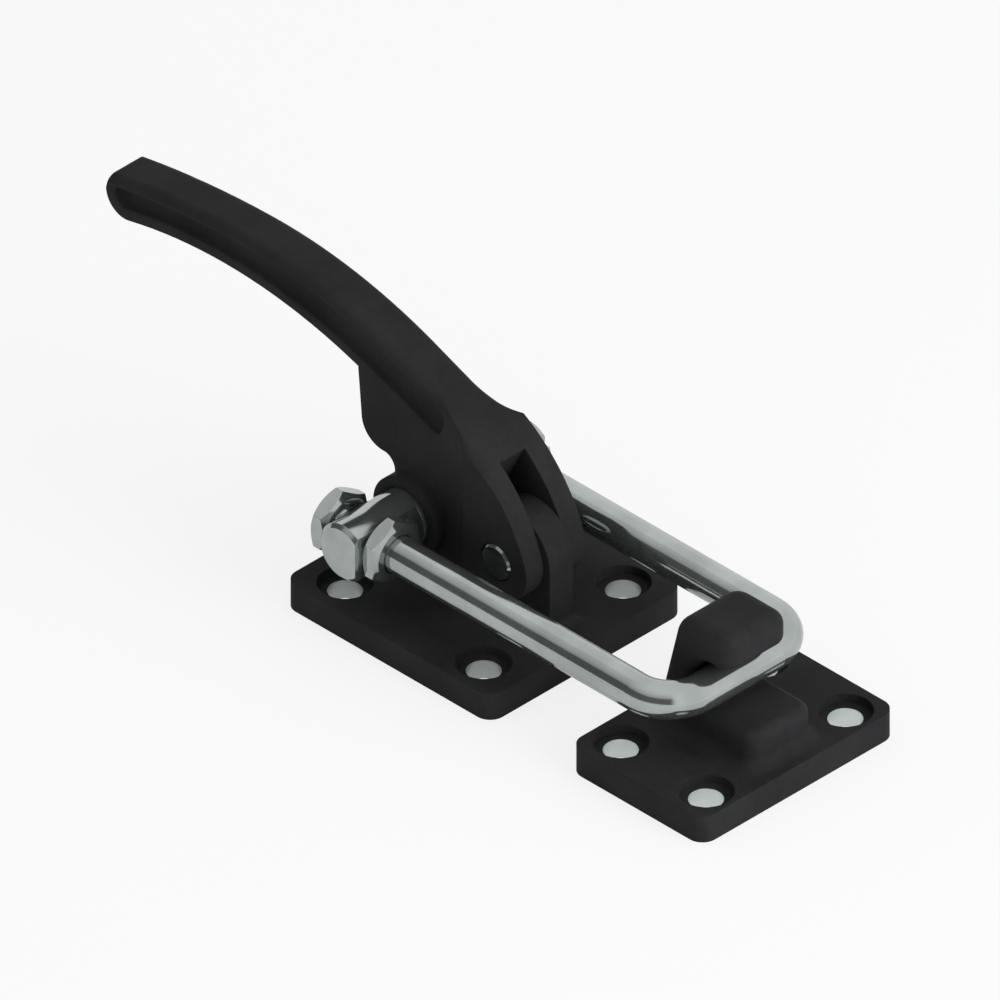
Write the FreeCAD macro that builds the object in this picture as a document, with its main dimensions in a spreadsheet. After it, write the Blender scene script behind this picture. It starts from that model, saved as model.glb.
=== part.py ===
import FreeCAD, Part
import math
import os

import Sketcher

# Latch toggle clamp: a forged base with an upright tongue, a forged lever that
# turns on a pin through that tongue, a cross shaft in the lever that carries a
# bent rod by four nuts, and a separate forged hook plate that the rod pulls on.
# Millimetres. The origin is the middle of the base's four screw holes, on its
# underside. +X runs from the base to the hook, +Z is up.

doc = FreeCAD.newDocument("latch_clamp")

LEAST_CUT = 1e-6                  # cubic millimetres that a pocket takes away

# How the edges to be rounded are told apart
CLOSE = 1e-3                      # places this near to each other are the same
UPRIGHT_DRIFT = 1e-4              # sideways run of an upright edge
SAMPLES = 5                       # points looked at along an edge
SMOOTH_TURN = math.radians(8)     # between two faces that meet smoothly
SIDEWAYS = 0.1                    # most that a roof's normal leans to a side
SKYWARD = 0.5                     # least that it points up
SHORT_RISE = 2.0                  # upright scraps of a corner are under this

# Driving dimensions
SIZES = (
    ("plate_width", 68.5),        # both plates, across
    ("plate_thickness", 8.0),
    ("plate_corner", 4.4),        # upright corners of both plates
    ("base_length", 72.8),
    ("catch_length", 47.0),
    ("screw_hole", 9.0),          # clears an M8 screw
    ("head_recess", 14.3),        # for the head of an M8 cap screw
    ("head_depth", 2.5),
    ("screw_pitch", 49.0),        # across, on both plates
    ("base_pitch", 48.8),         # along, on the base
    ("catch_pitch", 30.0),        # along, on the hook plate
    ("pivot_ahead", 14.6),        # pivot, ahead of the origin
    ("pivot_height", 26.5),       # pivot, above the mounting surface
    ("tongue_thickness", 8.2),
    ("tongue_head", 12.6),        # radius about the pivot
    ("tongue_fillet", 2.5),       # where the tongue meets the plate
    ("head_lean", 30.0),          # rear end of that round head, in degrees
    ("stop_back", 21.0),          # pad that stops the lever, behind the pivot
    ("stop_length", 12.0),
    ("pin_diameter", 10.5),
    ("pin_proud", 0.4),           # past each cheek
    ("pin_chamfer", 0.8),
    ("bush_diameter", 14.0),
    ("fit_gap", 0.1),             # round every shaft, all round
    ("rest_gap", 0.3),            # between pieces that rest on each other
    ("shaft_back", 31.6),         # cross shaft, behind the pivot
    ("shaft_drop", 1.7),          # cross shaft, below the pivot
    ("shaft_diameter", 16.0),
    ("shaft_length", 66.8),
    ("shaft_chamfer", 1.0),
    ("flat_depth", 5.0),          # from the shaft's axis to its front flats
    ("flat_start", 12.0),         # from the middle to where the flats begin
    ("rod_diameter", 10.0),
    ("leg_inset", 10.1),          # from each end of the shaft to a leg's axis
    ("rod_reach", 105.5),         # from the cross shaft to the crossbar
    ("rod_bend", 11.0),           # radius of the rod's axis
    ("rod_tail", 1.7),            # past the rear nuts
    ("rod_chamfer", 1.0),
    ("thread_lead", 0.25),        # bevel at the mouth of each nut
    ("nut_flats", 16.0),
    ("nut_face", 14.2),           # flat ring at each end of a nut
    ("nut_bevel", 35.0),          # of its corners, in degrees
    ("nut_thickness", 5.3),
    ("cheek_round", 10.8),        # lever's front end, about the pivot
    ("fork_width", 21.0),
    ("slot_width", 8.8),
    ("boss_round", 11.0),         # lever's boss, about the cross shaft
    ("boss_width", 22.0),
    ("arm_width", 13.2),
    ("flare_start", 26.1),        # behind the pivot, arm begins to widen
    ("flare_end", 11.4),          # behind the pivot, arm is at full width
    ("lever_reach", 141.0),       # from the pivot back to the tip
    ("tip_crest", 4.0),           # end of the top, above the tip's middle
    ("tip_sweep", 13.3),          # of the tip's round past its lowest point, degrees
    ("tip_slope", 1.0),           # of the end face, from its middle to the top
    ("tip_round", 6.5),
    ("arm_top_bend", 150.0),
    ("wrist_fall", 1.0),          # of the top where the flatter bend starts, degrees
    ("wrist_bend", 281.0),        # flatter bend of the top, on to the tip
    ("arm_under_sag", 5.7),       # middle of the underside, above its ends
    ("shoulder_back", 37.1),      # behind the pivot, end of the arm's bow
    ("shoulder_rise", 40.2),
    ("roof_fall", 21.4),          # of the straight top, in degrees
    ("nose_bend", 48.0),          # fork's bowed front
    ("slot_rise", 25.6),          # top of the slot's end, above the pivot
    ("slot_back", 4.4),           # behind the pivot, slot's end on the top
    ("slot_foot", 7.2),           # below the pivot, slot's end on the boss
    ("lobe_back", 51.1),          # behind the pivot, rear of the lobe
    ("lobe_rise", 10.4),          # lobe's underside, above the pivot
    ("lobe_top", 31.8),           # where the lobe leaves the arm
    ("lobe_lean", 1.2),
    ("lobe_round", 7.5),
    ("lobe_hollow", 4.0),
    ("rim", 2.6),                 # round the recess in each side of the arm
    ("recess_depth", 2.0),
    ("recess_fillet", 1.4),
    ("recess_corner", 1.6),
    ("recess_back", 23.8),        # behind the pivot, recess's lower front
    ("recess_rise", 24.4),
    ("knee_back", 51.6),          # behind the pivot, where its two bends meet
    ("knee_rise", 34.8),
    ("knee_fall", 18.3),          # of its lower edge there, in degrees
    ("recess_toe", 4.2),          # rear lower corner, below the tip's middle
    ("toe_round", 3.4),           # of that corner
    ("arm_fillet", 2.3),
    ("corner_fillet", 0.2),       # what is left of it at the end of the flare
    ("hook_width", 22.0),
    ("hook_height", 42.4),        # above the mounting surface
    ("hook_lip", 8.3),            # nose, ahead of the crossbar's axis
    ("hook_neck", 9.2),           # at the height of the crossbar's axis
    ("hook_lean", 14.0),          # of the back, in degrees
    ("hook_corner", 4.2),         # upright corners and top edges
    ("hook_crown", 7.0),          # top edge at the back
    ("hook_foot", 3.5),           # where it meets the plate
    ("lip_fillet", 2.6),          # round the mouth and the pad
    ("mouth", 14.4),              # of the hook, over the pad
    ("mouth_rise", 0.7),          # mouth's middle, above the crossbar's axis
    ("pad_ahead", 17.0),          # front of the pad, ahead of the crossbar
    ("catch_front", 22.6),        # front of the plate, ahead of the crossbar
)


class Size:
    """A length: the text that binds it to the sheet, and its value now."""

    def __init__(self, text, value):
        self.text = text
        self.value = value

    def joined(self, sign, other, value):
        return Size(f"({self.text} {sign} {other.text})", value)

    def __add__(self, other):
        other = as_size(other)
        return self.joined("+", other, self.value + other.value)

    def __sub__(self, other):
        other = as_size(other)
        return self.joined("-", other, self.value - other.value)

    def __mul__(self, other):
        other = as_size(other)
        return self.joined("*", other, self.value * other.value)

    def __truediv__(self, other):
        other = as_size(other)
        return self.joined("/", other, self.value / other.value)

    def __neg__(self):
        return Size(f"(0 - {self.text})", -self.value)


def as_size(item):
    if isinstance(item, Size):
        return item
    return Size(f"({float(item)})", float(item))


def root(size):
    return Size(f"sqrt({size.text})", math.sqrt(size.value))


def sine(degrees):
    return Size(f"sin({degrees.text} * 1 deg)", math.sin(math.radians(degrees.value)))


def cosine(degrees):
    return Size(f"cos({degrees.text} * 1 deg)", math.cos(math.radians(degrees.value)))


def fill_sheet():
    sheet = doc.addObject("Spreadsheet::Sheet", "dims")
    for row, (name, value) in enumerate(SIZES, start=1):
        sheet.set(f"A{row}", name)
        sheet.set(f"B{row}", str(value))
        sheet.setAlias(f"B{row}", name)
    doc.recompute()
    return sheet


dims = fill_sheet()


def size(name):
    return Size("dims." + name, float(dims.get(name)))


# Places that several pieces share, worked out from the sheet
pivot_x = size("pivot_ahead")
pivot_z = size("pivot_height")
shaft_x = pivot_x - size("shaft_back")
shaft_z = pivot_z - size("shaft_drop")
bar_x = shaft_x + size("rod_reach")
bar_z = shaft_z
rod_radius = size("rod_diameter") / 2
leg_y = size("shaft_length") / 2 - size("leg_inset")
plate_top = size("plate_thickness")
buried = plate_top / 2


def bind(thing, **lengths):
    """Tie properties of a document object to sizes."""
    for name, length in lengths.items():
        thing.setExpression(name, as_size(length).text)


def new_body(label):
    body = doc.addObject("PartDesign::Body", label)
    body.Label = label
    return body


def origin_plane(body, role):
    for feature in body.Origin.OriginFeatures:
        if feature.Role == role:
            return feature
    raise ValueError(role)


def new_sketch(body, name, role, offset=None):
    """A sketch on one of the body's own planes, moved along its normal."""
    sketch = body.newObject("Sketcher::SketchObject", name)
    sketch.AttachmentSupport = (origin_plane(body, role), [""])
    sketch.MapMode = "FlatFace"
    if offset is not None:
        sketch.setExpression("AttachmentOffset.Base.z", offset.text)
    return sketch


def bind_constraint(sketch, constraint, length):
    index = sketch.addConstraint(constraint)
    sketch.setExpression(f"Constraints[{index}]", length.text)


def pin_point(sketch, edge, end, point):
    """Hold one end of an edge, or a circle's centre, at a bound place."""
    across, up = as_size(point[0]), as_size(point[1])
    for kind, length in (("DistanceX", across), ("DistanceY", up)):
        rule = Sketcher.Constraint(kind, -1, 1, edge, end, length.value)
        bind_constraint(sketch, rule, length)


def arc_between(start, end, radius):
    """The shorter arc from start to end: it turns left if the radius is positive."""
    (x0, y0), (x1, y1) = start, end
    half = math.hypot(x1 - x0, y1 - y0) / 2
    rise = math.sqrt(max(radius * radius - half * half, 0.0))
    side = math.copysign(rise, radius) / (2 * half)
    centre = FreeCAD.Vector(
        (x0 + x1) / 2 - (y1 - y0) * side, (y0 + y1) / 2 + (x1 - x0) * side, 0
    )
    first, last = (start, end) if radius > 0 else (end, start)
    begin = math.atan2(first[1] - centre.y, first[0] - centre.x)
    finish = math.atan2(last[1] - centre.y, last[0] - centre.x)
    circle = Part.Circle(centre, FreeCAD.Vector(0, 0, 1), abs(radius))
    return Part.ArcOfCircle(circle, begin, finish)


def outline(sketch, corners):
    """A closed outline. Each corner is (across, up), and a third value is the
    radius of the arc that leads to it: positive where the outline turns left."""
    places = [(as_size(c[0]).value, as_size(c[1]).value) for c in corners]
    ends = []
    for index, corner in enumerate(corners):
        start, end = places[index - 1], places[index]
        if len(corner) == 3:
            radius = as_size(corner[2])
            arc = arc_between(start, end, radius.value)
            edge = sketch.addGeometry(arc, False)
            rule = Sketcher.Constraint("Radius", edge, abs(radius.value))
            bind_constraint(sketch, rule, radius if radius.value > 0 else -radius)
            ends.append((edge, 1, 2) if radius.value > 0 else (edge, 2, 1))
        else:
            line = Part.LineSegment(FreeCAD.Vector(*start, 0), FreeCAD.Vector(*end, 0))
            ends.append((sketch.addGeometry(line, False), 1, 2))
    for index, (edge, first, last) in enumerate(ends):
        before, _, meet = ends[index - 1]
        sketch.addConstraint(
            Sketcher.Constraint("Coincident", before, meet, edge, first)
        )
        pin_point(sketch, edge, last, corners[index])
    return sketch


def circles(sketch, centres, diameter):
    for centre in centres:
        place = FreeCAD.Vector(as_size(centre[0]).value, as_size(centre[1]).value, 0)
        up = FreeCAD.Vector(0, 0, 1)
        ring = sketch.addGeometry(Part.Circle(place, up, diameter.value / 2), False)
        rule = Sketcher.Constraint("Diameter", ring, diameter.value)
        bind_constraint(sketch, rule, diameter)
        pin_point(sketch, ring, 3, centre)
    return sketch


def rectangle(sketch, low, high):
    return outline(sketch, [
        (low[0], low[1]), (high[0], low[1]), (high[0], high[1]), (low[0], high[1])
    ])


def pad(body, name, sketch, length, symmetric=False):
    feature = body.newObject("PartDesign::Pad", name)
    feature.Profile = sketch
    if symmetric:
        feature.SideType = "Symmetric"
    bind(feature, Length=length)
    doc.recompute()
    return feature


def pocket(body, name, sketch, length=None, symmetric=False, reverse=False):
    """Cut the sketch away: right through where no length is given."""
    before = body.Shape.Volume
    feature = body.newObject("PartDesign::Pocket", name)
    feature.Profile = sketch
    feature.Reversed = reverse
    if symmetric:
        feature.SideType = "Symmetric"
    if length is None:
        feature.Type = "ThroughAll"
    else:
        bind(feature, Length=length)
    doc.recompute()
    if body.Shape.Volume > before - LEAST_CUT:
        raise RuntimeError(f"{name} cuts nothing")
    return feature


def edges_where(feature, wanted):
    """Names of the edges that the test picks."""
    picked = []
    for number, edge in enumerate(feature.Shape.Edges, start=1):
        if wanted(edge):
            picked.append(f"Edge{number}")
    return picked


def round_edges(body, name, feature, wanted, radius, kind="Fillet"):
    names = edges_where(feature, wanted)
    if not names:
        raise RuntimeError(f"{name} finds no edge")
    work = body.newObject(f"PartDesign::{kind}", name)
    work.Base = (feature, names)
    bind(work, **{"Radius" if kind == "Fillet" else "Size": radius})
    doc.recompute()
    return work


def samples(edge):
    """Points along an edge: one place, where the edge has shrunk to a point."""
    if edge.Degenerated:
        return [edge.Vertexes[0].Point] * SAMPLES
    return edge.discretize(SAMPLES)


def is_upright(edge):
    low, high = samples(edge)[0], samples(edge)[-1]
    flat = math.hypot(high.x - low.x, high.y - low.y)
    return flat < UPRIGHT_DRIFT and abs(high.z - low.z) > CLOSE


def near(value, target):
    return abs(value - target) < CLOSE


def screw_holes(body, label, middle_x, pitch):
    """Four screw holes and the flat recesses for their heads."""
    centres = [
        (middle_x + pitch / (2 * along), size("screw_pitch") / (2 * across))
        for along in (-1, 1) for across in (-1, 1)
    ]
    through = circles(
        new_sketch(body, label + "_hole_plan", "XY_Plane"), centres, size("screw_hole")
    )
    pocket(body, label + "_holes", through, plate_top, reverse=True)
    heads = circles(
        new_sketch(body, label + "_head_plan", "XY_Plane", plate_top),
        centres, size("head_recess")
    )
    pocket(body, label + "_heads", heads, size("head_depth"))


def plate(body, label, low_x, high_x):
    """A flat plate with rounded upright corners."""
    half = size("plate_width") / 2
    plan = rectangle(
        new_sketch(body, label + "_plan", "XY_Plane"), (low_x, -half), (high_x, half)
    )
    slab = pad(body, label + "_slab", plan, plate_top)
    return round_edges(
        body, label + "_corners", slab, is_upright, size("plate_corner")
    )


def make_base_plate():
    """The base: plate, upright tongue with its head about the pivot, and the
    low pad behind it that the lever's boss comes down on."""
    body = new_body("base_plate")
    half = size("base_length") / 2
    plate(body, "base", -half, half)
    head = size("tongue_head")
    front = pivot_x + head
    stop_top = shaft_z - size("boss_round") - size("rest_gap")
    stop_front = pivot_x - size("stop_back")
    stop_back = stop_front - size("stop_length")
    lean = size("head_lean")
    profile = outline(new_sketch(body, "tongue_profile", "XZ_Plane"), [
        (stop_back, buried),
        (front, buried),
        (front, pivot_z),
        (pivot_x, pivot_z + head, head),
        (pivot_x - head * cosine(lean), pivot_z + head * sine(lean), head),
        (stop_front, stop_top),
        (stop_back, stop_top),
    ])
    tongue = pad(body, "tongue", profile, size("tongue_thickness"), symmetric=True)

    def foot(edge):
        side = size("tongue_thickness").value / 2
        return all(
            near(p.z, plate_top.value) and abs(p.y) < side + CLOSE for p in samples(edge)
        )

    round_edges(body, "tongue_foot", tongue, foot, size("tongue_fillet"))
    bore = circles(
        new_sketch(body, "bore_profile", "XZ_Plane"), [(pivot_x, pivot_z)],
        size("bush_diameter")
    )
    pocket(body, "bush_bore", bore, size("tongue_thickness") * 2, symmetric=True)
    screw_holes(body, "base", as_size(0), size("base_pitch"))
    return body


def mouth_middle():
    """Centre of the mouth's round back, which the crossbar nearly touches."""
    rise = size("mouth_rise")
    reach = size("mouth") / 2 - rod_radius - size("rest_gap")
    return bar_x + root(reach * reach - rise * rise), bar_z + rise


def hook_profile(sketch):
    """The hook seen from the side: leaning back, crown, lip, mouth and pad."""
    lean = size("hook_lean")
    slope = sine(lean) / cosine(lean)
    half_mouth = size("mouth") / 2
    mouth_x, mouth_z = mouth_middle()
    back_x = mouth_x - half_mouth - size("hook_neck")
    top = size("hook_height")
    low = buried
    front = bar_x + size("pad_ahead")
    nose = bar_x + size("hook_lip")
    return outline(sketch, [
        (back_x - (mouth_z - low) * slope, low),
        (front, low),
        (front, mouth_z - half_mouth),
        (mouth_x, mouth_z - half_mouth),
        (mouth_x - half_mouth, mouth_z, -half_mouth),
        (mouth_x, mouth_z + half_mouth, -half_mouth),
        (nose, mouth_z + half_mouth),
        (nose, top),
        (back_x + (top - mouth_z) * slope, top),
    ])


def round_hook(body, hook):
    """The forging's soft edges: crown, upright corners, mouth and pad, foot."""
    top = size("hook_height").value
    side = size("hook_width").value / 2
    nose = (bar_x + size("hook_lip")).value
    gape = (size("mouth") / 2).value
    mouth_x, mouth_z = (place.value for place in mouth_middle())

    def on_top(edge):
        return all(near(p.z, top) for p in samples(edge))

    def across(edge, place):
        return all(near(p.x, place) for p in samples(edge))

    def on_side(edge):
        return all(near(abs(p.y), side) for p in samples(edge))

    def back_crown(edge):
        return on_top(edge) and not on_side(edge) and not across(edge, nose)

    crowned = round_edges(body, "hook_crown", hook, back_crown, size("hook_crown"))

    def corner(edge):
        low, high = samples(edge)[0], samples(edge)[-1]
        straight = near(edge.Length, (high - low).Length)
        above = min(low.z, high.z) > plate_top.value - CLOSE
        tall = abs(high.z - low.z) > SHORT_RISE
        rising = straight and above and tall and on_side(edge)
        return rising or on_top(edge) and (on_side(edge) or across(edge, nose))

    rounded = round_edges(body, "hook_corners", crowned, corner, size("hook_corner"))

    def lip(edge):
        """On the pad's top or the lip's underside: the mouth's own edges follow."""
        level = all(near(abs(p.z - mouth_z), gape) for p in samples(edge))
        return level and not across(edge, mouth_x)

    lipped = round_edges(body, "lip_edges", rounded, lip, size("lip_fillet"))

    def foot(edge):
        low = all(near(p.z, plate_top.value) for p in samples(edge))
        return low and all(abs(p.y) < side + CLOSE for p in samples(edge))

    round_edges(body, "hook_foot", lipped, foot, size("hook_foot"))


def make_catch_plate():
    """The hook plate: plate and hook in one forging."""
    body = new_body("catch_plate")
    front = bar_x + size("catch_front")
    back = front - size("catch_length")
    plate(body, "catch", back, front)
    profile = hook_profile(new_sketch(body, "hook_profile", "XZ_Plane"))
    hook = pad(body, "hook", profile, size("hook_width"), symmetric=True)
    round_hook(body, hook)
    middle = front - size("catch_length") / 2
    screw_holes(body, "catch", middle, size("catch_pitch"))
    return body


def roof_line():
    """The straight stretch of the lever's top: a point on it, and its slope."""
    fall = size("roof_fall")
    start = (pivot_x - size("shoulder_back"), pivot_z + size("shoulder_rise"))
    return start, sine(fall), cosine(fall)


def arm_top(inset):
    """The arm's top, moved in by inset, as the corners of an outline: the start
    of its bow at the shoulder, the bow, and the flatter bow that ends above the
    tip."""
    (x, z), down, along = roof_line()
    bend, flatter = size("arm_top_bend"), size("wrist_bend")
    fall = size("wrist_fall")
    centre_x, centre_z = x - bend * down, z - bend * along
    wrist_x = centre_x - (bend - inset) * sine(fall)
    wrist_z = centre_z + (bend - inset) * cosine(fall)
    far_x = centre_x + (flatter - bend) * sine(fall)
    far_z = centre_z - (flatter - bend) * cosine(fall)
    end_x = pivot_x - size("lever_reach") + size("tip_slope") + inset
    radius = flatter - inset
    end_z = far_z + root(radius * radius - (far_x - end_x) * (far_x - end_x))
    return [
        (x - inset * down, z - inset * along),
        (wrist_x, wrist_z, bend - inset),
        (end_x, end_z, radius),
    ]


def tip_middle():
    """The rearmost point of the lever, in the middle of its end."""
    return pivot_x - size("lever_reach"), arm_top(as_size(0))[-1][1] - size("tip_crest")


def fork_front():
    """The bowed front of the fork: one arc, tangent to the straight roof and to
    the round end about the pivot."""
    (x, z), down, along = roof_line()
    cheek, nose = size("cheek_round"), size("nose_bend")
    ahead, below = pivot_x - x, pivot_z - z
    pivot_run = ahead * along - below * down
    pivot_deep = ahead * down + below * along + nose
    reach = nose - cheek
    run = pivot_run - root(reach * reach - pivot_deep * pivot_deep)
    nose_x = x + run * along - nose * down
    nose_z = z - run * down - nose * along
    on_cheek = (
        pivot_x + (pivot_x - nose_x) * cheek / reach,
        pivot_z + (pivot_z - nose_z) * cheek / reach,
    )
    return on_cheek, (x + run * along, z - run * down)


def belly():
    """The straight line under the fork that touches the boss and the cheek."""
    run, drop = size("shaft_back"), size("shaft_drop")
    between = root(run * run + drop * drop)
    lean = (size("boss_round") - size("cheek_round")) / between
    square = root(as_size(1) - lean * lean)
    out_x = (run * lean + drop * square) / between
    out_z = (drop * lean - run * square) / between
    boss, cheek = size("boss_round"), size("cheek_round")
    return (
        (shaft_x + boss * out_x, shaft_z + boss * out_z),
        (pivot_x + cheek * out_x, pivot_z + cheek * out_z),
    )


def bowed(start, end, sag):
    """Radius of the arc between two points whose middle is sag off the chord."""
    across, up = end[0] - start[0], end[1] - start[1]
    return (across * across + up * up) / (sag * 8) + sag / 2


def lever_profile(sketch):
    """The lever seen from the side, from the tip round to the fork and back."""
    tip_x, tip_z = tip_middle()
    boss = size("boss_round")
    diagonal = boss * cosine(as_size(45))
    lobe_x = pivot_x - size("lobe_back")
    lobe_z = pivot_z + size("lobe_rise")
    lobe = size("lobe_round")
    on_cheek, on_roof = fork_front()
    under_boss, under_cheek = belly()
    chin, sweep = size("tip_round"), size("tip_sweep")
    under_tip = (tip_x + chin + chin * sine(sweep), tip_z - chin * cosine(sweep))
    under_lobe = (lobe_x - size("lobe_lean"), pivot_z + size("lobe_top"))
    return outline(sketch, [
        (tip_x, tip_z),
        (*under_tip, chin),
        (*under_lobe, -bowed(under_tip, under_lobe, size("arm_under_sag"))),
        (lobe_x, lobe_z + lobe),
        (lobe_x + lobe, lobe_z, lobe),
        (shaft_x - boss, lobe_z),
        (shaft_x - diagonal, shaft_z + diagonal, -size("lobe_hollow")),
        under_boss,
        under_cheek,
        (*on_cheek, size("cheek_round")),
        (*on_roof, size("nose_bend")),
        *arm_top(as_size(0)),
    ])


def flare_plan(sketch, side):
    """What is cut from one side of the blank to leave the slimmer arm."""
    half_arm = size("arm_width") / 2
    half_fork = size("fork_width") / 2
    start = pivot_x - size("flare_start")
    end = pivot_x - size("flare_end")
    run = size("flare_start") - size("flare_end")
    rise = half_fork - half_arm
    bend = (run * run + rise * rise) / (rise * 2)
    clear = size("fork_width")
    rear = pivot_x - size("lever_reach") - clear
    if side > 0:
        corners = [
            (rear, half_arm), (start, half_arm), (end, half_fork, bend),
            (end, clear), (rear, clear),
        ]
    else:
        corners = [
            (rear, -clear), (end, -clear), (end, -half_fork),
            (start, -half_arm, bend), (rear, -half_arm),
        ]
    return outline(sketch, corners)


def tangent_bend(start, fall, end):
    """Radius of the arc that leaves start at a falling slope and reaches end."""
    across, up = end[0] - start[0], end[1] - start[1]
    aside = as_size(0) - across * sine(fall) - up * cosine(fall)
    return (across * across + up * up) / (aside * 2)


def recess_profile(sketch):
    """The long recess in each side of the arm, a rim's width inside its outline."""
    rim = size("rim")
    tip_x, tip_z = tip_middle()
    _, down, along = roof_line()
    top = arm_top(rim)
    toe = (tip_x + rim, tip_z - size("recess_toe"))
    knee = (pivot_x - size("knee_back"), pivot_z + size("knee_rise"))
    front = (pivot_x - size("recess_back"), pivot_z + size("recess_rise"))
    fall = size("knee_fall")
    end_x = front[0] + rim
    end_z = top[0][1] - (end_x - top[0][0]) * down / along
    return outline(sketch, [
        toe,
        (*knee, -tangent_bend(knee, fall, toe)),
        (*front, -tangent_bend(knee, fall, front)),
        (end_x, end_z),
        *top,
    ])


def slot_profile(sketch):
    """The fork's slot seen from the side, open at the front, top and bottom."""
    clear = size("fork_width")
    top_x = pivot_x - size("slot_back")
    top_z = pivot_z + size("slot_rise")
    low_x = shaft_x + size("boss_round") - size("rest_gap")
    low_z = pivot_z - size("slot_foot")
    slope = (top_x - low_x) / (top_z - low_z)
    high_z = top_z + clear
    front = pivot_x + size("cheek_round") + clear
    return outline(sketch, [
        (low_x - (low_z - buried) * slope, buried),
        (front, buried),
        (front, high_z),
        (top_x + (high_z - top_z) * slope, high_z),
    ])


def cut_recesses(body):
    """The same recess in both sides of the arm, with round corners and a soft
    edge to its floor."""
    outside = size("fork_width")
    floor = size("arm_width") / 2 - size("recess_depth")
    for side, label in ((1, "far"), (-1, "near")):
        profile = recess_profile(new_sketch(
            body, label + "_recess_profile", "XZ_Plane", outside * -side
        ))
        blank = pocket(
            body, label + "_recess", profile, outside - floor, reverse=side > 0
        )
    level = floor.value
    tip_x, tip_z = tip_middle()
    toe_x = (tip_x + size("rim")).value
    toe_z = (tip_z - size("recess_toe")).value

    def corner(edge):
        """An edge across the recess's wall that starts on its floor."""
        low, high = samples(edge)[0], samples(edge)[-1]
        straight_in = near(low.x, high.x) and near(low.z, high.z)
        on_floor = near(min(abs(low.y), abs(high.y)), level)
        return straight_in and on_floor and not smooth(edge)

    def smooth(edge):
        first, second = blank.Shape.ancestorsOfType(edge, Part.Face)
        place = edge.valueAt(edge.FirstParameter)
        turn = first.normalAt(*first.Surface.parameter(place)).getAngle(
            second.normalAt(*second.Surface.parameter(place))
        )
        return turn < SMOOTH_TURN

    def toe(edge):
        place = samples(edge)[0]
        return corner(edge) and near(place.x, toe_x) and near(place.z, toe_z)

    def other_corner(edge):
        return corner(edge) and not toe(edge)

    blank = round_edges(body, "recess_toes", blank, toe, size("toe_round"))
    blank = round_edges(
        body, "recess_corners", blank, other_corner, size("recess_corner")
    )

    def floor_edge(edge):
        rear = pivot_x.value - size("recess_back").value + size("rim").value * 2
        return all(near(abs(p.y), level) and p.x < rear for p in samples(edge))

    return round_edges(
        body, "recess_floors", blank, floor_edge, size("recess_fillet")
    )


def make_lever_blank():
    """The lever's outline at the fork's width, waisted to the slimmer arm."""
    body = new_body("lever_blank")
    profile = lever_profile(new_sketch(body, "lever_profile", "XZ_Plane"))
    pad(body, "blank", profile, size("fork_width"), symmetric=True)
    for side, label in ((1, "far"), (-1, "near")):
        plan = flare_plan(new_sketch(body, label + "_flare", "XY_Plane"), side)
        pocket(body, label + "_waist", plan, reverse=True)
    return body


def round_roof(blank):
    """Round the long edges of the arm's top. The rounding fades out along the
    last stretch of the flare, so the fork starts with a sharp corner."""
    shape = blank.Shape
    arm_side = size("arm_width").value / 2 - CLOSE
    flare_x = (pivot_x - size("flare_end")).value
    full, least = size("arm_fillet").value, size("corner_fillet").value

    def meets_roof(edge):
        middle = samples(edge)[SAMPLES // 2]
        for face in shape.ancestorsOfType(edge, Part.Face):
            normal = face.normalAt(*face.Surface.parameter(middle))
            if abs(normal.y) < SIDEWAYS and normal.z > SKYWARD:
                return True
        return False

    def along_roof(edge):
        points = samples(edge)
        beside = all(abs(p.y) > arm_side for p in points)
        behind = max(p.x for p in points) < flare_x + CLOSE
        return beside and behind and meets_roof(edge)

    rounded = []
    for number, edge in enumerate(shape.Edges, start=1):
        if along_roof(edge):
            ends = (edge.firstVertex(True).Point, edge.lastVertex(True).Point)
            radii = [least if near(end.x, flare_x) else full for end in ends]
            rounded.append((number, *radii))
    roof = doc.addObject("Part::Fillet", "roof_edges")
    roof.Base = blank
    roof.Edges = rounded
    doc.recompute()
    return roof


def make_handle():
    """The lever: bowed arm with a recess in each side, lobe, boss for the cross
    shaft and the fork whose cheeks straddle the tongue."""
    roof = round_roof(make_lever_blank())
    body = new_body("handle")
    body.BaseFeature = roof
    doc.recompute()
    boss = circles(
        new_sketch(body, "boss_profile", "XZ_Plane"), [(shaft_x, shaft_z)],
        size("boss_round") * 2
    )
    pad(body, "boss", boss, size("boss_width"), symmetric=True)
    slot = slot_profile(new_sketch(body, "slot_profile", "XZ_Plane"))
    pocket(body, "slot", slot, size("slot_width"), symmetric=True)
    cut_recesses(body)
    for label, x, z, bore in (
        ("shaft", shaft_x, shaft_z, size("shaft_diameter") + size("fit_gap") * 2),
        ("pin", pivot_x, pivot_z, size("pin_diameter")),
    ):
        ring = circles(
            new_sketch(body, label + "_bore_profile", "XZ_Plane"), [(x, z)], bore
        )
        pocket(body, label + "_bore", ring, size("boss_width") * 2, symmetric=True)
    return body


def make_pivot_pin():
    """The pin pressed through both cheeks, with its ends bevelled."""
    body = new_body("pivot_pin")
    profile = circles(
        new_sketch(body, "pin_profile", "XZ_Plane"), [(pivot_x, pivot_z)],
        size("pin_diameter")
    )
    length = size("fork_width") + size("pin_proud") * 2
    rod = pad(body, "pin_rod", profile, length, symmetric=True)
    end = length.value / 2

    def rim(edge):
        return all(near(abs(p.y), end) for p in samples(edge))

    round_edges(body, "pin_bevels", rod, rim, size("pin_chamfer"), kind="Chamfer")
    return body


def make_pivot_bush():
    """The hard bush in the tongue that the pin turns in."""
    body = new_body("pivot_bush")
    sketch = new_sketch(body, "bush_profile", "XZ_Plane")
    circles(sketch, [(pivot_x, pivot_z)], size("bush_diameter"))
    bore = size("pin_diameter") + size("fit_gap") * 2
    circles(sketch, [(pivot_x, pivot_z)], bore)
    pad(body, "bush", sketch, size("tongue_thickness"), symmetric=True)
    return body


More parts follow.
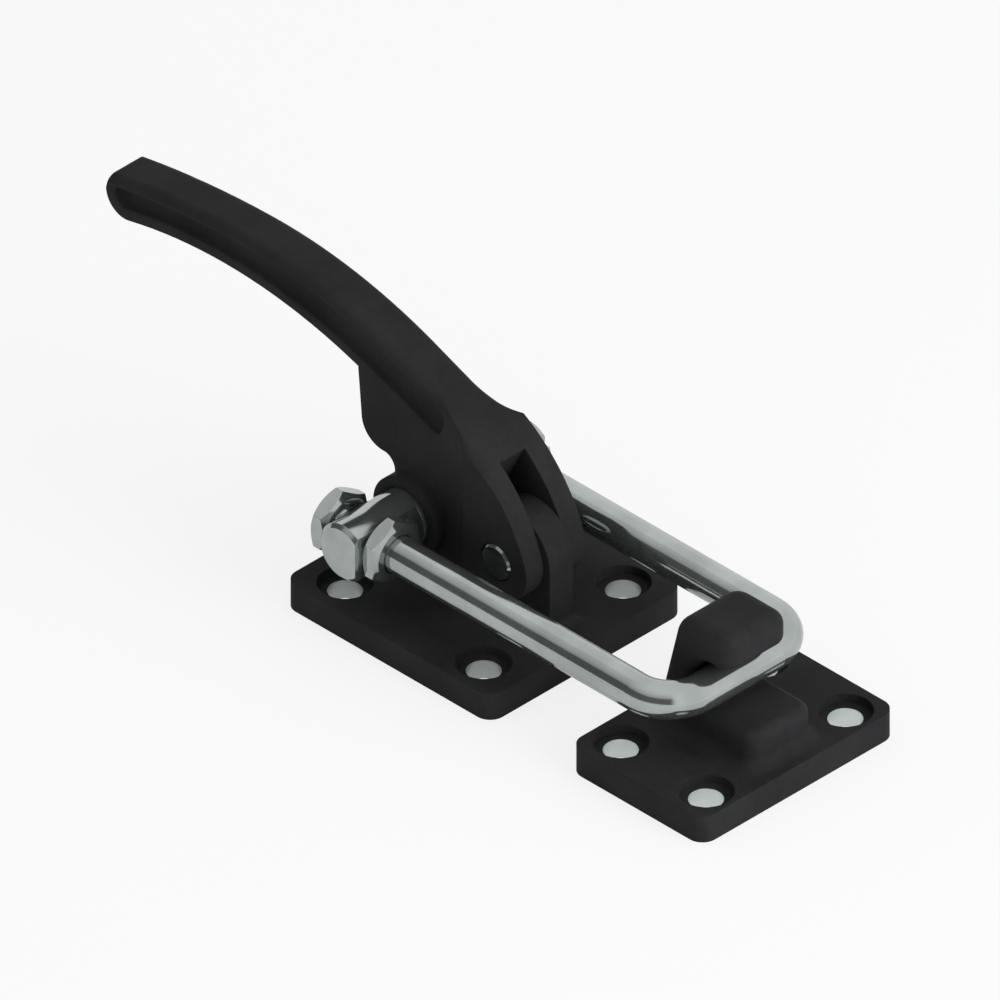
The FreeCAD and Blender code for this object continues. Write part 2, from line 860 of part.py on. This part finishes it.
def make_cross_shaft():
    """The shaft through the lever's boss, cross-bored at both ends for the legs
    of the rod, with a flat in front of each bore."""
    body = new_body("cross_shaft")
    profile = circles(
        new_sketch(body, "shaft_profile", "XZ_Plane"), [(shaft_x, shaft_z)],
        size("shaft_diameter")
    )
    bar = pad(body, "shaft_bar", profile, size("shaft_length"), symmetric=True)
    end = size("shaft_length").value / 2

    def rim(edge):
        return all(near(abs(p.y), end) for p in samples(edge))

    round_edges(body, "shaft_bevels", bar, rim, size("shaft_chamfer"), kind="Chamfer")
    through = size("shaft_diameter") * 2
    flat, clear = size("flat_depth"), size("shaft_diameter")
    inner, outer = size("flat_start"), size("shaft_length")
    for label, low, high in (
        ("far", (shaft_x + flat, inner), (shaft_x + clear, outer)),
        ("near", (shaft_x + flat, -outer), (shaft_x + clear, -inner)),
    ):
        sketch = new_sketch(body, label + "_flat_plan", "XY_Plane", shaft_z)
        pocket(body, label + "_flat", rectangle(sketch, low, high), through,
               symmetric=True)
    bores = circles(
        new_sketch(body, "rod_bore_profile", "YZ_Plane", shaft_x),
        [(-leg_y, shaft_z), (leg_y, shaft_z)],
        size("rod_diameter") + size("fit_gap") * 2
    )
    pocket(body, "rod_bores", bores, through, symmetric=True)
    return body


def rear_nut_start():
    """Rear face of the nuts that bear on the round of the shaft."""
    return shaft_x - size("shaft_diameter") / 2 - size("nut_thickness")


def rod_route(sketch):
    """The rod's axis: out along one leg, across, and back along the other."""
    bend = size("rod_bend")
    tail = rear_nut_start() - size("rod_tail")
    points = [
        (tail, -leg_y),
        (bar_x - bend, -leg_y),
        (bar_x, -(leg_y - bend), bend),
        (bar_x, leg_y - bend),
        (bar_x - bend, leg_y, bend),
        (tail, leg_y),
    ]
    before = None
    for start, end in zip(points, points[1:]):
        first = (start[0].value, start[1].value)
        last = (end[0].value, end[1].value)
        if len(end) == 3:
            edge = sketch.addGeometry(arc_between(first, last, end[2].value), False)
            rule = Sketcher.Constraint("Radius", edge, end[2].value)
            bind_constraint(sketch, rule, end[2])
        else:
            line = Part.LineSegment(FreeCAD.Vector(*first, 0), FreeCAD.Vector(*last, 0))
            edge = sketch.addGeometry(line, False)
        if before is None:
            pin_point(sketch, edge, 1, start)
        else:
            sketch.addConstraint(Sketcher.Constraint("Coincident", before, 2, edge, 1))
        pin_point(sketch, edge, 2, end)
        before = edge
    return tail


def make_u_bolt():
    """The bent rod that pulls on the hook."""
    body = new_body("u_bolt")
    route = new_sketch(body, "rod_route", "XY_Plane", shaft_z)
    tail = rod_route(route)
    section = circles(
        new_sketch(body, "rod_section", "YZ_Plane", tail), [(-leg_y, shaft_z)],
        size("rod_diameter")
    )
    doc.recompute()
    rod = body.newObject("PartDesign::AdditivePipe", "rod")
    rod.Profile = section
    rod.Spine = route
    doc.recompute()

    def rim(edge):
        return all(near(p.x, tail.value) for p in samples(edge))

    round_edges(body, "rod_bevels", rod, rim, size("rod_chamfer"), kind="Chamfer")
    return body


def make_nut(label, side, start):
    """A thin chamfered hexagon nut, one corner up, from start along the rod."""
    body = new_body(label)
    thickness = size("nut_thickness")
    bore = rod_radius + size("fit_gap")
    bevel = size("nut_bevel")
    corner = size("nut_flats") / (cosine(as_size(30)) * 2)
    face = size("nut_face") / 2
    slant = (corner - face) * sine(bevel) / cosine(bevel)
    lead = size("thread_lead")
    section = outline(new_sketch(body, label + "_section", "XZ_Plane"), [
        (lead, bore),
        (0, bore + lead),
        (0, face),
        (slant, corner),
        (thickness - slant, corner),
        (thickness, face),
        (thickness, bore + lead),
        (thickness - lead, bore),
    ])
    blank = body.newObject("PartDesign::Revolution", label + "_blank")
    blank.Profile = section
    blank.ReferenceAxis = (section, ["H_Axis"])
    blank.Angle = 360
    doc.recompute()
    turns = [as_size(60 * turn) for turn in range(6)]
    frame = new_sketch(body, label + "_flats", "YZ_Plane")
    outline(frame, [(corner * sine(turn), corner * cosine(turn)) for turn in turns])
    circles(frame, [(0, 0)], corner * 4)
    pocket(body, label + "_hexagon", frame, thickness * 2, symmetric=True)
    body.setExpression("Placement.Base.x", start.text)
    body.setExpression("Placement.Base.y", (leg_y * side).text)
    body.setExpression("Placement.Base.z", shaft_z.text)
    doc.recompute()
    return body


def make_nuts():
    """A nut on the flat ahead of the shaft and one behind it, on each leg."""
    front = shaft_x + size("flat_depth")
    nuts = []
    for side, word in ((-1, "near"), (1, "far")):
        nuts.append(make_nut(f"{word}_front_nut", side, front))
        nuts.append(make_nut(f"{word}_rear_nut", side, rear_nut_start()))
    return nuts


def write_parts(bodies):
    os.makedirs("parts", exist_ok=True)
    for body in bodies:
        body.Shape.exportStep(f"parts/{body.Label}.step")


def check_document(bodies):
    for thing in doc.Objects:
        if "Invalid" in thing.State or "Error" in thing.State:
            raise RuntimeError(f"{thing.Label}: {thing.State}")
    for body in bodies:
        if body.Shape.isNull() or not body.Shape.isValid():
            raise RuntimeError(f"{body.Label} has no valid shape")


bodies = [
    make_base_plate(),
    make_catch_plate(),
    make_handle(),
    make_pivot_pin(),
    make_pivot_bush(),
    make_cross_shaft(),
    make_u_bolt(),
    *make_nuts(),
]
doc.recompute()
check_document(bodies)
write_parts(bodies)
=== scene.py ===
import math

import bpy
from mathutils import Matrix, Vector

# Looks for the latch toggle clamp: black satin forgings, bright plated rod,
# shaft, nuts and pin, on a white studio floor. Metres, +X towards the hook.

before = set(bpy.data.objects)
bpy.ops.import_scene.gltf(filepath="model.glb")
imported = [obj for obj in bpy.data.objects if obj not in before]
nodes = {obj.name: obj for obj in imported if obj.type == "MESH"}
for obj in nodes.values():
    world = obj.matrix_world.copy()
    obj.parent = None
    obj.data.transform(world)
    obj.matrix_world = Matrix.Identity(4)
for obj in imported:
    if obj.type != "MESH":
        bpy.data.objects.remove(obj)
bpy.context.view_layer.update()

MM = 0.001

# Places on the solids
HOLE_RADIUS = 4.5 * MM
HOLE_MARGIN = 0.12 * MM               # a hole's finish reaches this far past its wall
HOLE_DEPTH = 5.5 * MM                 # from the underside to the head recess
HOLE_RIM = 0.05 * MM                  # left black at both ends of a hole
SCREW_ROW = 24.5 * MM                 # from the middle line to each row of holes
BASE_ROW = 24.4 * MM
CATCH_MIDDLE = 87.6 * MM
CATCH_ROW = 15.0 * MM
LEG_Y = 23.3 * MM
AXIS_Z = 24.8 * MM                    # of the rod and of the cross shaft
THREAD_END = -12.5 * MM               # the rod's thread runs back from here
THREAD_PITCH = 1.5 * MM
THREAD_DEPTH = 0.8 * MM
ARM_END = -4.0 * MM                   # the lever's arm lies behind this
ARM_FADE = 10.0 * MM

# Apparent rounding of edges
ARM_SOFT = 2.0 * MM                   # on the lever's arm
EDGE_SOFT = 0.35 * MM                 # on the rest of the forgings
PLATED_SOFT = 0.15 * MM
PIN_SOFT = 0.2 * MM
NUT_SOFT = 0.25 * MM
BEVEL_SAMPLES = 6

# Camera of a parallel view
VIEW_TARGET = Vector((0.00281, 0.00281, 0.03298))
VIEW_AZIMUTH = math.radians(45)
VIEW_ELEVATION = math.radians(35.264)
VIEW_WIDTH = 0.24876
VIEW_DISTANCE = 1.2
VIEW_NEAR = 0.01
VIEW_FAR = 20

# Linear colours
WHITE = (1, 1, 1, 1)
BLACK = (0.0315, 0.0315, 0.0330, 1)
BLACK_DEEP = (0.0215, 0.0217, 0.0230, 1)
WORN = (0.046, 0.046, 0.048, 1)
PLATED = (0.44, 0.475, 0.465, 1)
PLATED_DULL = (0.36, 0.39, 0.38, 1)
# Machined hole walls in two tones of one steel: the lit copy is painted light, the shaded copy
# is painted shade
MACHINED_LIT = (0.88, 0.94, 0.92, 1)
MACHINED_SHADED = (0.54, 0.575, 0.56, 1)
FLOOR = (0.92, 0.92, 0.925, 1)
FLOOR_PATCHES = (0.94, 0.94, 0.945, 1)

# Noises, in cycles per metre, and the stretch of their values that is used
BROAD_SCALE = 45                      # mottling of the black
SPOT_SCALE = 420
GRAIN_SCALE = 2200
CLOUD_SCALE = 90                      # haze of the plating
SPECK_SCALE = 1500
RING_SCALE = 55                       # tool marks round the screw holes
RING_STRETCH = (1, 1, 60)
FLOOR_SCALE = 3.0
MOST_NOISE = (0.3, 0.7)
BROAD_NOISE = (0.35, 0.65)
WORN_NOISE = (0.42, 0.7)
SPECK_NOISE = (0.4, 0.8)

# Black finish
SPOT_SHARE = 0.4                      # of the spots in the mottling
BLACK_ROUGHNESS = (0.48, 0.64)
HOLE_ROUGHNESS = (0.28, 0.44)
BLACK_SPECULAR = 0.025
SPOT_BUMP = (0.10 * MM, 0.22)         # height and strength
GRAIN_BUMP = (0.03 * MM, 0.40)

# Wear along the forgings' edges
WEAR_REACH = 0.45 * MM
WEAR_TURN = (0.08, 0.30)              # 1 less the cosine of the normal's turn there
WEAR_TINT = 0.35
WEAR_POLISH = -0.08
WEAR_METAL = 0.08

# Plating
PLATED_ROUGHNESS = (0.075, 0.13)
SPECK_ROUGHNESS = (0.0, 0.05)
PLATED_METAL = 0.90                   # less than 1 is hazier
PIN_METAL = 0.97
MARK_BUMP = (0.010 * MM, 0.25)
CLOUD_BUMP = (0.05 * MM, 0.10)

# Light
AMBIENT = 0.62                        # of the studio on everything but mirrors
FLOOR_REACH = 4.0
FLOOR_GLOW = 0.80                     # share of the floor that the camera sees as white
FLOOR_GLOW_MIRRORED = 0.35            # the same share in metal's reflections
FLAG_AZIMUTH = math.radians(250)      # of the middle of the studio's dark flag
FLAG_HALF_WIDTH = math.radians(72)
FLAG_FADE = math.radians(5)           # half the width of its soft ends
FLAG_LOW = math.radians(4)
FLAG_TOP = math.radians(37)
FLAG_EDGE = 0.03                      # softness of its lower and upper edge
FLAG_TONE = 0.09
LEAST_LEVEL = 0.001                   # of a direction, so straight up divides by no 0
CEILING_EDGE = 0.52                   # brightness just above the flag
CEILING_FULL = math.radians(80)       # where the ceiling over it is white again
KEY_PLACE = (1.3, 0.25, 0.6)
KEY_WIDTH = 0.9
KEY_POWER = 12.5


class Tree:
    """A material's node tree, with short ways to add and join nodes."""

    def __init__(self, material):
        material.use_nodes = True
        self.tree = material.node_tree
        self.tree.nodes.clear()

    def add(self, kind, **settings):
        node = self.tree.nodes.new(kind)
        for name, value in settings.items():
            setattr(node, name, value)
        return node

    def put(self, value, socket):
        """Feed a socket: from another node's output, or with a plain value."""
        if isinstance(value, bpy.types.NodeSocket):
            self.tree.links.new(value, socket)
        else:
            socket.default_value = value

    def math(self, operation, *values):
        node = self.add("ShaderNodeMath", operation=operation)
        for value, socket in zip(values, node.inputs):
            self.put(value, socket)
        return node.outputs[0]

    def scaled(self, vector, scale):
        node = self.add("ShaderNodeMapping", vector_type="POINT")
        self.put(vector, node.inputs["Vector"])
        node.inputs["Scale"].default_value = scale
        return node.outputs[0]

    def noise(self, vector, scale, detail=2.0, roughness=0.5):
        node = self.add("ShaderNodeTexNoise")
        self.put(vector, node.inputs["Vector"])
        node.inputs["Scale"].default_value = scale
        node.inputs["Detail"].default_value = detail
        node.inputs["Roughness"].default_value = roughness
        return node.outputs["Fac"]

    def ranged(self, value, low, high, to_low=0.0, to_high=1.0):
        """Map low to high, with soft ends, onto to_low to to_high."""
        node = self.add("ShaderNodeMapRange", interpolation_type="SMOOTHSTEP")
        for name, item in (
            ("Value", value), ("From Min", low), ("From Max", high),
            ("To Min", to_low), ("To Max", to_high),
        ):
            self.put(item, node.inputs[name])
        return node.outputs["Result"]

    def mix(self, factor, first, second):
        """Mix two colours. The node has a set of sockets for each kind of value."""
        node = self.add("ShaderNodeMix", data_type="RGBA")
        self.put(factor, node.inputs["Factor"])
        self.put(first, node.inputs[6])
        self.put(second, node.inputs[7])
        return node.outputs[2]

    def blend(self, factor, first, second):
        """Mix two plain values."""
        node = self.add("ShaderNodeMix", data_type="FLOAT")
        self.put(factor, node.inputs[0])
        self.put(first, node.inputs[2])
        self.put(second, node.inputs[3])
        return node.outputs[0]

    def bump(self, height, distance, strength, normal):
        node = self.add("ShaderNodeBump")
        self.put(height, node.inputs["Height"])
        node.inputs["Distance"].default_value = distance
        node.inputs["Strength"].default_value = strength
        self.put(normal, node.inputs["Normal"])
        return node.outputs[0]

    def soft_edges(self, radius):
        """The normal as if every edge were rounded by radius."""
        node = self.add("ShaderNodeBevel", samples=BEVEL_SAMPLES)
        self.put(radius, node.inputs["Radius"])
        return node.outputs[0]

    def edge_mask(self, radius, low, high):
        """1 along edges, 0 away from them."""
        soft = self.soft_edges(radius)
        flat = self.add("ShaderNodeNewGeometry").outputs["Normal"]
        dot = self.add("ShaderNodeVectorMath", operation="DOT_PRODUCT")
        self.put(soft, dot.inputs[0])
        self.put(flat, dot.inputs[1])
        away = self.math("SUBTRACT", 1.0, dot.outputs["Value"])
        return self.ranged(away, low, high)

    def place(self):
        return self.add("ShaderNodeTexCoord").outputs["Object"]

    def axes(self, vector):
        node = self.add("ShaderNodeSeparateXYZ")
        self.put(vector, node.inputs[0])
        return node.outputs

    def surface(self, **values):
        shader = self.add("ShaderNodeBsdfPrincipled")
        for name, value in values.items():
            self.put(value, shader.inputs[name.replace("_", " ")])
        self.output(shader.outputs[0])

    def output(self, shader):
        out = self.add("ShaderNodeOutputMaterial")
        self.put(shader, out.inputs["Surface"])


def distance_from(tree, across, up):
    """How far a point is from a line, given its two offsets."""
    across_squared = tree.math("POWER", across, 2.0)
    up_squared = tree.math("POWER", up, 2.0)
    return tree.math("SQRT", tree.math("ADD", across_squared, up_squared))


def hole_wall(tree, place, middle, row):
    """1 on the walls of a plate's four screw holes, 0 elsewhere."""
    x, y, z = tree.axes(place)
    from_middle = tree.math("ABSOLUTE", tree.math("SUBTRACT", x, middle))
    along = tree.math("SUBTRACT", from_middle, row)
    across = tree.math("SUBTRACT", tree.math("ABSOLUTE", y), SCREW_ROW)
    away = distance_from(tree, along, across)
    inside = tree.math("LESS_THAN", away, HOLE_RADIUS + HOLE_MARGIN)
    below = tree.math("LESS_THAN", z, HOLE_DEPTH - HOLE_RIM)
    above = tree.math("GREATER_THAN", z, HOLE_RIM)
    return tree.math("MULTIPLY", tree.math("MULTIPLY", inside, below), above)


def forging(name, holes=None, bare_with_painted_light=MACHINED_LIT, softer_arm=False):
    """Satin black finish on a forging: fine grain, faint mottling and edges
    rubbed a little lighter. Holes are left as machined steel, in a tone with painted light in
    it: lighter on the catch plate, darker (painted shade) on the base plate.
    The lever's arm has softer edges than its fork."""
    tree = Tree(bpy.data.materials.new(name))
    place = tree.place()
    broad = tree.noise(place, BROAD_SCALE, detail=3)
    spots = tree.noise(place, SPOT_SCALE, detail=4, roughness=0.65)
    grain = tree.noise(place, GRAIN_SCALE, detail=3, roughness=0.6)
    mottled = tree.blend(
        SPOT_SHARE, tree.ranged(broad, *BROAD_NOISE), tree.ranged(spots, *MOST_NOISE)
    )
    colour = tree.mix(mottled, BLACK_DEEP, BLACK)
    edges = tree.edge_mask(WEAR_REACH, *WEAR_TURN)
    wear = tree.math("MULTIPLY", edges, tree.ranged(spots, *WORN_NOISE))
    colour = tree.mix(tree.math("MULTIPLY", wear, WEAR_TINT), colour, WORN)
    roughness = tree.ranged(spots, *MOST_NOISE, *BLACK_ROUGHNESS)
    roughness = tree.math("ADD", roughness, tree.math("MULTIPLY", wear, WEAR_POLISH))
    metal = tree.math("MULTIPLY", wear, WEAR_METAL)
    if holes is not None:
        wall = hole_wall(tree, place, *holes)
        rings = tree.noise(tree.scaled(place, RING_STRETCH), RING_SCALE, detail=2)
        turned = tree.ranged(rings, *MOST_NOISE, *HOLE_ROUGHNESS)
        # hole walls: unpainted steel whose tone carries painted light on the catch and painted
        # shade on the base
        colour = tree.mix(wall, colour, bare_with_painted_light)
        roughness = tree.blend(wall, roughness, turned)
        metal = tree.blend(wall, metal, 1.0)
    soft = EDGE_SOFT
    if softer_arm:
        x = tree.axes(place)["X"]
        soft = tree.ranged(x, ARM_END - ARM_FADE, ARM_END, ARM_SOFT, EDGE_SOFT)
    normal = tree.soft_edges(soft)
    normal = tree.bump(spots, *SPOT_BUMP, normal)
    normal = tree.bump(grain, *GRAIN_BUMP, normal)
    tree.surface(
        Base_Color=colour, Metallic=metal, Roughness=roughness, Normal=normal,
        Specular_IOR_Level=BLACK_SPECULAR,
    )


def plated(name, lines, round_edge=PLATED_SOFT, thread=False, metallic=PLATED_METAL):
    """Bright zinc plate over drawn or turned steel. lines stretches the fine
    tool marks: small along them, large across."""
    tree = Tree(bpy.data.materials.new(name))
    place = tree.place()
    cloud = tree.noise(place, CLOUD_SCALE, detail=3)
    specks = tree.noise(place, SPECK_SCALE, detail=3, roughness=0.6)
    marks = tree.noise(tree.scaled(place, lines), 1.0, detail=3, roughness=0.6)
    colour = tree.mix(tree.ranged(cloud, *MOST_NOISE), PLATED_DULL, PLATED)
    haze = tree.ranged(cloud, *MOST_NOISE, *PLATED_ROUGHNESS)
    dust = tree.ranged(specks, *SPECK_NOISE, *SPECK_ROUGHNESS)
    roughness = tree.math("ADD", haze, dust)
    normal = tree.soft_edges(round_edge)
    normal = tree.bump(marks, *MARK_BUMP, normal)
    normal = tree.bump(cloud, *CLOUD_BUMP, normal)
    if thread:
        normal = tree.bump(thread_height(tree, place), THREAD_DEPTH, 1.0, normal)
    tree.surface(Base_Color=colour, Metallic=metallic, Roughness=roughness, Normal=normal)


def thread_height(tree, place):
    """Screw thread on both legs of the rod, from its tails to THREAD_END."""
    x, y, z = tree.axes(place)
    side = tree.math("SUBTRACT", tree.math("ABSOLUTE", y), LEG_Y)
    rise = tree.math("SUBTRACT", z, AXIS_Z)
    turn = tree.math("DIVIDE", tree.math("ARCTAN2", side, rise), math.tau)
    along = tree.math("ADD", tree.math("DIVIDE", x, THREAD_PITCH), turn)
    wave = tree.math("PINGPONG", along, 0.5)
    threaded = tree.ranged(x, THREAD_END - THREAD_PITCH, THREAD_END, 2.0, 0.0)
    return tree.math("MULTIPLY", wave, threaded)


def floor_material():
    """White floor: its own light where it is seen or mirrored, so that it ends
    white, and plain diffuse white that takes the shadows."""
    tree = Tree(bpy.data.materials.new("studio_floor"))
    patches = tree.noise(tree.place(), FLOOR_SCALE, detail=2)
    shade = tree.mix(tree.ranged(patches, *MOST_NOISE), FLOOR, FLOOR_PATCHES)
    diffuse = tree.add("ShaderNodeBsdfDiffuse")
    tree.put(shade, diffuse.inputs["Color"])
    glow = tree.add("ShaderNodeEmission")
    glow.inputs["Color"].default_value = WHITE
    mixed = tree.add("ShaderNodeMixShader")
    path = tree.add("ShaderNodeLightPath").outputs
    mirrored = tree.math("MAXIMUM", path["Is Glossy Ray"], path["Is Transmission Ray"])
    share = tree.math(
        "MAXIMUM", tree.math("MULTIPLY", path["Is Camera Ray"], FLOOR_GLOW),
        tree.math("MULTIPLY", mirrored, FLOOR_GLOW_MIRRORED),
    )
    tree.put(share, mixed.inputs[0])
    tree.put(diffuse.outputs[0], mixed.inputs[1])
    tree.put(glow.outputs[0], mixed.inputs[2])
    tree.output(mixed.outputs[0])


def dress():
    """Give every node of the frame its material."""
    forging("lever_forging", softer_arm=True)
    # the base's hole walls take the shaded copy (painted shade); the catch's take the lit copy
    # (painted light)
    forging("base_forging", holes=(0.0, BASE_ROW), bare_with_painted_light=MACHINED_SHADED)
    forging("hook_forging", holes=(CATCH_MIDDLE, CATCH_ROW))
    plated("rod_plate", (300, 9000, 9000), thread=True)
    plated("shaft_plate", (900, 16000, 900))
    plated("nut_plate", (12000, 1500, 1500), round_edge=NUT_SOFT)
    plated("pin_plate", (2500, 800, 2500), round_edge=PIN_SOFT, metallic=PIN_METAL)
    choice = {
        "base_plate": "base_forging", "catch_plate": "hook_forging",
        "handle": "lever_forging", "u_bolt": "rod_plate",
        "cross_shaft": "shaft_plate", "pivot_pin": "pin_plate",
        "pivot_bush": "pin_plate",
    }
    for name, node in nodes.items():
        material = bpy.data.materials[choice.get(name, "nut_plate")]
        node.data.materials.clear()
        node.data.materials.append(material)


def make_floor():
    far = FLOOR_REACH
    data = bpy.data.meshes.new("floor")
    corners = [(-far, -far, 0), (far, -far, 0), (far, far, 0), (-far, far, 0)]
    data.from_pydata(corners, [], [(0, 1, 2, 3)])
    floor_object = bpy.data.objects.new("floor", data)
    bpy.context.scene.collection.objects.link(floor_object)
    floor_material()
    data.materials.append(bpy.data.materials["studio_floor"])


def aim(thing, target):
    direction = target - thing.location
    thing.rotation_euler = direction.to_track_quat("-Z", "Y").to_euler()


def make_lamp(name, place, width, power):
    """A round soft lamp that shines on the object and shows in no reflection."""
    lamp = bpy.data.lights.new(name, "AREA")
    lamp.shape = "DISK"
    lamp.size = width
    lamp.energy = power
    lamp_object = bpy.data.objects.new(name, lamp)
    lamp_object.location = place
    lamp_object.visible_glossy = False
    aim(lamp_object, VIEW_TARGET)
    bpy.context.scene.collection.objects.link(lamp_object)


def mirrored_studio(tree):
    """What metal mirrors of the studio: white all round, with a dark flag on
    one side and a ceiling that brightens away from it."""
    x, y, z = tree.axes(tree.add("ShaderNodeTexCoord").outputs["Generated"])
    along = tree.math(
        "ADD",
        tree.math("MULTIPLY", x, math.cos(FLAG_AZIMUTH)),
        tree.math("MULTIPLY", y, math.sin(FLAG_AZIMUTH)),
    )
    level = tree.math("MAXIMUM", distance_from(tree, x, y), LEAST_LEVEL)
    facing = tree.math("DIVIDE", along, level)
    beside = tree.ranged(
        facing,
        math.cos(FLAG_HALF_WIDTH + FLAG_FADE), math.cos(FLAG_HALF_WIDTH - FLAG_FADE),
    )
    top, low = math.sin(FLAG_TOP), math.sin(FLAG_LOW)
    above = tree.ranged(z, top, math.sin(CEILING_FULL), CEILING_EDGE, 1.0)
    over = tree.ranged(z, top - FLAG_EDGE, top + FLAG_EDGE)
    under = tree.ranged(z, low - FLAG_EDGE, low + FLAG_EDGE)
    flagged = tree.blend(under, 1.0, tree.blend(over, FLAG_TONE, above))
    return tree.blend(beside, 1.0, flagged)


def make_world():
    """White where it is seen, the mirrored studio in reflections, and an even
    light on everything else."""
    world = bpy.data.worlds.new("studio")
    bpy.context.scene.world = world
    tree = Tree(world)
    path = tree.add("ShaderNodeLightPath").outputs
    clear = tree.math("MAXIMUM", path["Is Camera Ray"], path["Is Transmission Ray"])
    strength = tree.blend(clear, AMBIENT, 1.0)
    strength = tree.blend(path["Is Glossy Ray"], strength, mirrored_studio(tree))
    sky = tree.add("ShaderNodeBackground")
    sky.inputs["Color"].default_value = WHITE
    tree.put(strength, sky.inputs["Strength"])
    out = tree.add("ShaderNodeOutputWorld")
    tree.put(sky.outputs[0], out.inputs["Surface"])


def make_camera():
    """A parallel view from the photograph's angle, without depth of field."""
    flat = math.cos(VIEW_ELEVATION)
    back = Vector((
        math.sin(VIEW_AZIMUTH) * flat, -math.cos(VIEW_AZIMUTH) * flat, math.sin(VIEW_ELEVATION)
    ))
    data = bpy.data.cameras.new("camera")
    data.type = "ORTHO"
    data.ortho_scale = VIEW_WIDTH
    data.clip_start = VIEW_NEAR
    data.clip_end = VIEW_FAR
    camera = bpy.data.objects.new("camera", data)
    camera.location = VIEW_TARGET + back * VIEW_DISTANCE
    aim(camera, VIEW_TARGET)
    bpy.context.scene.collection.objects.link(camera)
    bpy.context.scene.camera = camera


dress()
make_floor()
make_world()
make_lamp("key", KEY_PLACE, KEY_WIDTH, KEY_POWER)
make_camera()
bpy.context.scene.view_settings.view_transform = "Standard"
